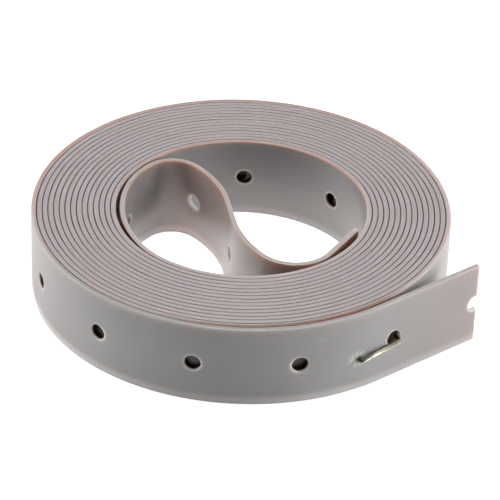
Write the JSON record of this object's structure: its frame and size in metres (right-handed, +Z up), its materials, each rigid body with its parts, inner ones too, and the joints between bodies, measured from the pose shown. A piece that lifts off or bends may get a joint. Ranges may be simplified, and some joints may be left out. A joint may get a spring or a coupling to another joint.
{
  "type": "plastic hanger strap",
  "caption": "Coil of perforated grey plastic hanger strap, standing on its edge, with a looped inner end and a free, stapled outer end; it hangs pipes from nails.",
  "frame": {"origin": "middle of the bounding box, on the level that the coil stands on", "axes": "+Z up along the coil's axis, +X towards the side of the free end, +Y away from the camera to the back of the coil"},
  "size_m": [0.0959, 0.0904, 0.0191],
  "materials": {
    "strap": "satin",
    "staple": "satin"
  },
  "bodies": {
    "root": {"strap": "strap", "staple": "staple"}
  },
  "joints": []
}
